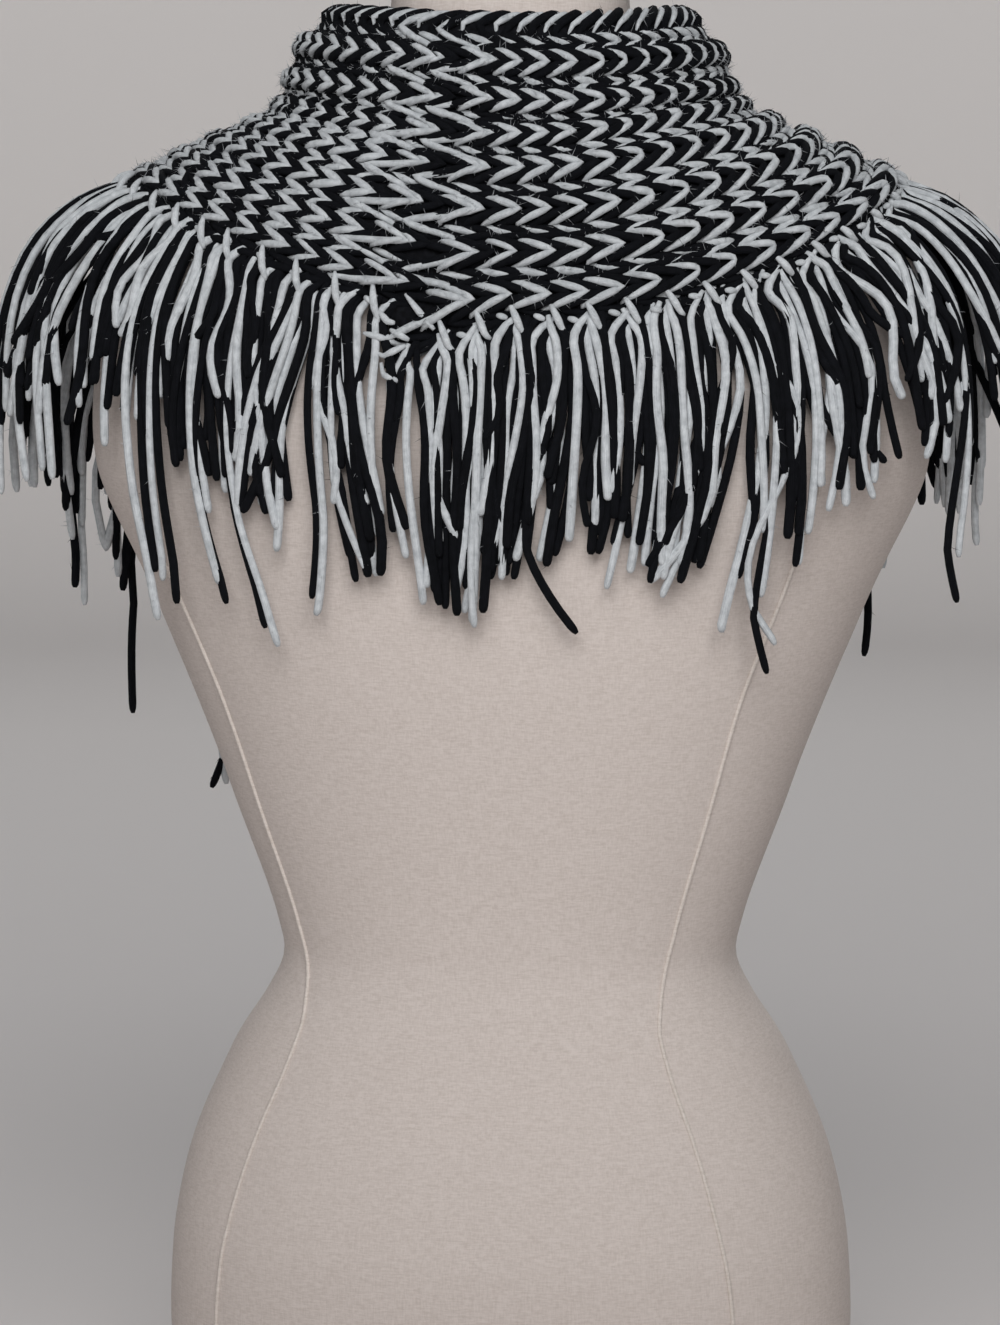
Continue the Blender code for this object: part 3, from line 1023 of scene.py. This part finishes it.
# %% The whole fringe
def fringe_strands():
    """Colour, line and radii of every strand that hangs from the band or lies on its edge."""
    for tassel in range(-1, COURSES):
        spread = 0.5 * soft_step(COURSES - 5, COURSES - 1, tassel)
        start = FIRST_TIP + LEAN + tassel + spread - 0.95
        left = start / ROUND > 0.5
        # The corner at the join is thin, and the linen shows through.
        layers = LAYERS[:1] if tassel in (-1, COURSES - 1) else LAYERS
        yield from tassel_legs(start, left, layers, mixed=left or tassel > 4)
        if tassel >= 0:
            yield from tassel_bars(start, left)
    for leaf in CORNER_LEAVES:
        share = leaf.share + (leaf.end_share - leaf.share) * BAR
        down = leaf.down + (leaf.end_down - leaf.down) * BAR
        line = cloth_point(share / ROUND, down, 7.0 + 1.2 * np.sin(np.pi * BAR))
        yield WHITE, line, leaf_radii(0.65, 1.05)
    for stray in STRAYS:
        line = fringe_leg(stray.place, stray.end, 6.2, 0.2, 0.0, stray.curl, STRAY_ALONG)
        yield stray.color, line, 0.92 * leg_radii(stray.color, STRAY_ALONG)


fringe = list(fringe_strands())
fringe_pieces = []
for color, word, material in YARNS:
    lines, radii = zip(*(strand[1:] for strand in fringe if strand[0] == color))
    fringe_pieces.append(strands(f"{word}_fringe", lines, radii, material))

# %% [markdown]
# ## Loose fibres
#
# Brushed acrylic has a halo of loose fibres. They soften every edge of the knitting and
# stand out grey against a pale wall. One fibre is a pointed cone of three sides. Its
# copies stand on triangles of the strands that look outwards, chosen by their area. Hair
# would grow them as well, but cones stay a mesh like the rest. A real fibre is 0.02 mm
# thick. Here they are thicker and fewer, so that the same haze is seen.

# %% One fibre and its places
FIBRE_RADIUS = 0.15  # mm at the root
FIBRE_LENGTH = (2.0, 7.0)  # mm
LIE, STRAYING, SAG = 0.4, 0.55, 0.35  # how much the normal, chance and weight turn a fibre


def one_fibre():
    """Points and faces of a fibre along Z, one unit long, with its root at the origin."""
    cone = bmesh.new()
    bmesh.ops.create_cone(
        cone,
        cap_ends=True,
        segments=3,
        radius1=1,
        radius2=0,
        depth=1,
        matrix=Matrix.Translation((0, 0, 0.5)),
    )
    bmesh.ops.remove_doubles(cone, verts=cone.verts, dist=0.001)
    points = np.array([vert.co for vert in cone.verts])
    faces = np.array([[vert.index for vert in face.verts] for face in cone.faces])
    cone.free()
    return points, faces


def fibre_roots(piece, count):
    """Points in mm on a piece's outward triangles, and the normals there."""
    piece.data.calc_loop_triangles()
    triangles = piece.data.loop_triangles
    corner, normal, area = (np.empty(n * len(triangles)) for n in (3, 3, 1))
    triangles.foreach_get("vertices", corner)
    triangles.foreach_get("normal", normal)
    triangles.foreach_get("area", area)
    points = np.empty(3 * len(piece.data.vertices))
    piece.data.vertices.foreach_get("co", points)
    corners = points.reshape(-1, 3)[corner.reshape(-1, 3).astype(int)] / MM
    normal = normal.reshape(-1, 3)
    outwards = corners[:, 0] * (1, 1, 0)
    outwards /= np.linalg.norm(outwards, axis=1, keepdims=True)
    facing = (normal * (outwards + (0, 0, 0.3))).sum(axis=1)
    weight = area * np.clip(facing, 0, 1)
    chosen = rng.choice(len(area), count, p=weight / weight.sum())
    share = rng.dirichlet((1, 1, 1), count)[..., None]
    return (share * corners[chosen]).sum(axis=1), normal[chosen]


# %% All fibres of a colour
def fibre_material(name, color):
    """A single loose fibre, matt and greyer than the yarn, as light passes round it."""
    material, _, shader = new_material(name)
    shader.inputs["Base Color"].default_value = linear(color)
    shader.inputs["Roughness"].default_value = 1.0
    shader.inputs["Specular IOR Level"].default_value = 0.1
    return material


def loose_fibres(word, color, pieces, counts):
    """One piece of fibres that stand on the strands of one colour."""
    placed = [fibre_roots(piece, count) for piece, count in zip(pieces, counts)]
    roots, normals = (np.concatenate(parts) for parts in zip(*placed))
    count = len(roots)
    along = LIE * normals + rng.normal(0, STRAYING, (count, 3)) - (0, 0, SAG)
    along /= np.linalg.norm(along, axis=1, keepdims=True)
    across = np.cross(along, rng.normal(size=(count, 3)))
    across /= np.linalg.norm(across, axis=1, keepdims=True)
    third = np.cross(along, across)
    length = rng.uniform(*FIBRE_LENGTH, count) * rng.uniform(0.4, 1, count)
    points, faces = one_fibre()
    x, y, z = points.T
    copies = (
        roots[:, None]
        + FIBRE_RADIUS * x[:, None] * across[:, None]
        + FIBRE_RADIUS * y[:, None] * third[:, None]
        + (length[:, None] * z)[..., None] * along[:, None]
    )
    all_faces = (faces[None] + len(points) * np.arange(count)[:, None, None]).reshape(-1, 3)
    mesh = bpy.data.meshes.new(f"{word}_fibres")
    mesh.from_pydata((copies.reshape(-1, 3) * MM).tolist(), [], all_faces.tolist())
    mesh.materials.append(fibre_material(f"loose_{word}_fibre", color))
    mesh.shade_smooth()
    print(f"{word}_fibres: {count} fibres, {len(all_faces)} triangles")
    return add_object(f"{word}_fibres", mesh)


fibre_pieces = [
    loose_fibres("white", "b9bcc0", knit_pieces[:2] + fringe_pieces[:1], (15500, 15500, 3500)),
    loose_fibres("black", "1a1b1e", knit_pieces[2:] + fringe_pieces[1:], (5000, 5000, 3000)),
]

# %% [markdown]
# ## The dress form
#
# The form is covered with unbleached linen, sewn from shaped panels with a narrow piping
# in the seams. Linen is matt and a little warm. Its threads are uneven, so the eye sees
# fine dark and light specks and short thick slubs along the threads. A real thread is
# about 0.4 mm, too fine to show here, so the weave is drawn at twice that.

# %% Linen
THREAD = 0.8  # mm
SLUB = 4.5  # mm, length


def linen_material(name, dark, light):
    """Plain woven linen, from its shaded gaps to its threads."""
    material, tree, shader = new_material(name)
    place = add_node(tree, "ShaderNodeTexCoord")
    specks = []
    for stretch in ((1 / SLUB, 1 / SLUB, 1 / THREAD), (1 / THREAD, 1 / THREAD, 1 / SLUB)):
        scaled = add_node(tree, "ShaderNodeMapping", links={"Vector": place.outputs["Object"]})
        scaled.inputs["Scale"].default_value = [s / MM for s in stretch]
        specks.append(
            add_node(
                tree,
                "ShaderNodeTexNoise",
                links={"Vector": scaled.outputs["Vector"]},
                Scale=1.0,
                Detail=3.0,
                Roughness=0.6,
            )
        )
    weave = add_node(
        tree,
        "ShaderNodeMix",
        {"data_type": "FLOAT"},
        {"A": specks[0].outputs["Fac"], "B": specks[1].outputs["Fac"]},
        Factor=0.42,
    )
    cover(
        tree,
        shader,
        weave.outputs["Result"],
        ((0.36, dark), (0.6, light)),
        weave.outputs["Result"],
        strength=0.5,
        depth=0.4,
        Roughness=0.9,
        Specular_IOR_Level=0.2,
        Sheen_Weight=0.04,
        Sheen_Roughness=0.5,
    )
    return material


linen = linen_material("unbleached_linen", "c2b7b0", "d2c8c2")
piping_linen = linen_material("linen_piping", "c6bcb3", "dad1ca")
print("linens:", linen.name, "and", piping_linen.name)

# %% [markdown]
# ## The form's body
#
# A real form is a hollow torso of papier mache and foam, which the linen is drawn over.
# Here it is the same kind of grid as the sheet, laid on the form's sections and joined to a
# tube. Its two open ends are filled, and a small bevel rounds their edges.

# %% Form
FORM_COLUMNS, FORM_ROWS = 132, 150
FORM_HEIGHT = FORM_SECTIONS[-1].z
EDGE_ROUND = 2.5  # mm


def form_place(share, down):
    """The form's surface, at a share of a full turn and a share of the way down."""
    z = FORM_HEIGHT * (1 - down)
    radius = form_radius(360 * share, z)
    angle = 2 * np.pi * share
    return np.stack([radius * np.cos(angle), radius * np.sin(angle), z], axis=-1)


form_piece = grid_on("linen_form", FORM_COLUMNS, FORM_ROWS, form_place, linen)
shell = bmesh.new()
shell.from_mesh(form_piece.data)
caps = bmesh.ops.holes_fill(shell, edges=shell.edges)["faces"]
bmesh.ops.recalc_face_normals(shell, faces=shell.faces)
rims = {edge for cap in caps for edge in cap.edges}
bmesh.ops.bevel(
    shell,
    geom=list(rims),
    offset=EDGE_ROUND * MM,
    segments=3,
    profile=0.5,
    affect="EDGES",
    material=-1,
)
shell.to_mesh(form_piece.data)
shell.free()
form_piece.data.shade_smooth()
print("form:", len(form_piece.data.polygons), "faces, caps:", len(caps))

# %% [markdown]
# ## Piping
#
# Two curved seams run down the back and two down the front, closer together at the waist.
# Each holds a thin piping of paler linen, made as a strand that lies on the form.

# %% Piping
SEAM_HEIGHTS = [12, 60, 113, 166, 214, 230, 250, 280, 330, 380, 440, 520, 600, 650]  # mm
SEAM_ANGLES = [59, 58, 56, 54, 52, 54, 57.5, 59.5, 61.2, 62, 65, 66, 62, 60]  # degrees
SEAM_POINTS = 110
BACK_CENTRE = -93.0  # degrees
PIPING_RADIUS, PIPING_LIFT = 1.1, 0.2  # mm


def seam_line(side, centre):
    """The seam to one side, 1 or -1, of a centre line given in degrees."""
    z = np.linspace(SEAM_HEIGHTS[0], SEAM_HEIGHTS[-1], SEAM_POINTS)
    off = smooth_columns(np.c_[SEAM_HEIGHTS, SEAM_ANGLES], z)[:, 0]
    angle = centre + side * off
    radius = form_radius(angle, z) + PIPING_LIFT
    turned = np.radians(angle)
    return np.stack([radius * np.cos(turned), radius * np.sin(turned), z], axis=-1)


seams = [seam_line(side, centre) for side in (-1, 1) for centre in (BACK_CENTRE, FRONT)]
piping_radii = np.full((len(seams), SEAM_POINTS), PIPING_RADIUS)
piping_piece = strands("linen_piping", seams, piping_radii, piping_linen, sides=6)

# %% [markdown]
# ## Floor and wall
#
# The stage is one big bowl turned from a short profile: a flat floor that curves up into a wall
# all round, so that any camera near the object sees a plain pale ground. Its matt colour is
# darker close to the form, a painted shadow of the form, and paler farther out, painted light
# where less lamp light falls on it.

# %% Stage
FLOOR_REACH, BEND, WALL_HEIGHT = 4.8, 2.2, 2.4  # metres
BEND_STEPS, ROUND_STEPS = 12, 64
# Painted shade: darker near the form as its shadow, paler farther out where less light falls.
WALL_TONE_AND_PAINTED_SHADE = ((0.3, "d8d3d1"), (1.5, "ebe6e4"), (3.5, "f8f3f0"))  # metres from the form
PAINT_REACH = 5.0  # metres
stage_material, stage_tree, stage_shader = new_material("pale_wall_with_painted_shade")
stage_place = add_node(stage_tree, "ShaderNodeTexCoord")
stage_reach = add_node(
    stage_tree,
    "ShaderNodeVectorMath",
    {"operation": "LENGTH"},
    {"Vector": stage_place.outputs["Object"]},
)
stage_share = add_node(
    stage_tree, "ShaderNodeMath", {"operation": "DIVIDE"}, {0: stage_reach.outputs["Value"]}
)
stage_share.inputs[1].default_value = PAINT_REACH
wall_tone_and_shade = add_node(stage_tree, "ShaderNodeValToRGB", links={"Fac": stage_share.outputs[0]})
wall_tone_and_shade.color_ramp.elements.new(0.5)
for stop, (reach, color) in zip(wall_tone_and_shade.color_ramp.elements, WALL_TONE_AND_PAINTED_SHADE):
    stop.position = reach / PAINT_REACH
    stop.color = linear(color)
stage_tree.links.new(wall_tone_and_shade.outputs["Color"], stage_shader.inputs["Base Color"])
stage_shader.inputs["Roughness"].default_value = 0.9
stage_mesh = bmesh.new()
profile = [stage_mesh.verts.new((0, 0, 0)), stage_mesh.verts.new((FLOOR_REACH, 0, 0))]
for step in range(1, BEND_STEPS + 1):
    bend = math.pi / 2 * step / BEND_STEPS
    profile.append(
        stage_mesh.verts.new(
            (FLOOR_REACH + BEND * math.sin(bend), 0, BEND * (1 - math.cos(bend)))
        )
    )
profile.append(stage_mesh.verts.new((FLOOR_REACH + BEND, 0, WALL_HEIGHT)))
for a, b in zip(profile, profile[1:]):
    stage_mesh.edges.new((a, b))
bmesh.ops.spin(
    stage_mesh,
    geom=stage_mesh.verts[:] + stage_mesh.edges[:],
    cent=(0, 0, 0),
    axis=(0, 0, 1),
    angle=2 * math.pi,
    steps=ROUND_STEPS,
    use_merge=True,
)
bmesh.ops.remove_doubles(stage_mesh, verts=stage_mesh.verts, dist=0.001)
bmesh.ops.recalc_face_normals(stage_mesh, faces=stage_mesh.faces)
bmesh.ops.reverse_faces(stage_mesh, faces=stage_mesh.faces)
stage_data = bpy.data.meshes.new("studio_stage")
stage_mesh.to_mesh(stage_data)
stage_mesh.free()
stage_data.materials.append(stage_material)
stage_data.shade_smooth()
stage_piece = add_object("studio_stage", stage_data)
print("stage:", len(stage_data.polygons), "faces")

# %% [markdown]
# ## Light
#
# A large soft panel, high up on the camera's side, gives every stitch a light and a dark
# side. Two far lamps as wide as a bright cloud, one on the camera's side and one across
# from it, show the yarn all round, and a dim grey sky fills the shadows.

# %% Lights
KEY_PLACE, KEY_TARGET = Vector((0.14, -1.0, 1.05)), Vector((0, 0, 0.45))  # metres
KEY_SIZE, KEY_POWER = 0.8, 7.0  # metres and watts
SUN_WIDTH = math.radians(30)
# Each far lamp has its azimuth, counted as the camera's, its elevation and its strength.
SUNS = (("front_sun", 8, 24, 0.85), ("back_sun", 180, 35, 0.8))
SKY, SKY_STRENGTH = "e9edf2", 0.18

panel = bpy.data.lights.new("key", "AREA")
panel.shape = "SQUARE"
panel.size = KEY_SIZE
panel.energy = KEY_POWER
key = add_object("key", panel)
key.location = KEY_PLACE
key.rotation_euler = (KEY_PLACE - KEY_TARGET).to_track_quat("Z", "Y").to_euler()
for name, azimuth, elevation, strength in SUNS:
    lamp = bpy.data.lights.new(name, "SUN")
    lamp.angle = SUN_WIDTH
    lamp.energy = strength
    sun = add_object(name, lamp)
    sun.rotation_euler = (math.radians(90 - elevation), 0, math.radians(azimuth))
world = bpy.data.worlds.new("studio")
world.use_nodes = True
world.node_tree.nodes["Background"].inputs["Color"].default_value = linear(SKY)
world.node_tree.nodes["Background"].inputs["Strength"].default_value = SKY_STRENGTH
bpy.context.scene.world = world
bpy.context.scene.view_settings.view_transform = "Standard"
print("lamps:", key.name, "and", len(SUNS), "suns")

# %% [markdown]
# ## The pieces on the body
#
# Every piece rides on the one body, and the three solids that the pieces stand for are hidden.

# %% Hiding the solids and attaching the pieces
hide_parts("dress_form")
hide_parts("knit_band")
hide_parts("fringe")
for piece, slot in (
    [(form_piece, "linen"), (piping_piece, "linen"), (sheet_piece, "rib_knit")]
    + [(piece, "rib_knit") for piece in knit_pieces]
    + [(piece, "fringe_yarn") for piece in fringe_pieces]
    + [(piece, "rib_knit") for piece in fibre_pieces]
):
    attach(piece, "root")
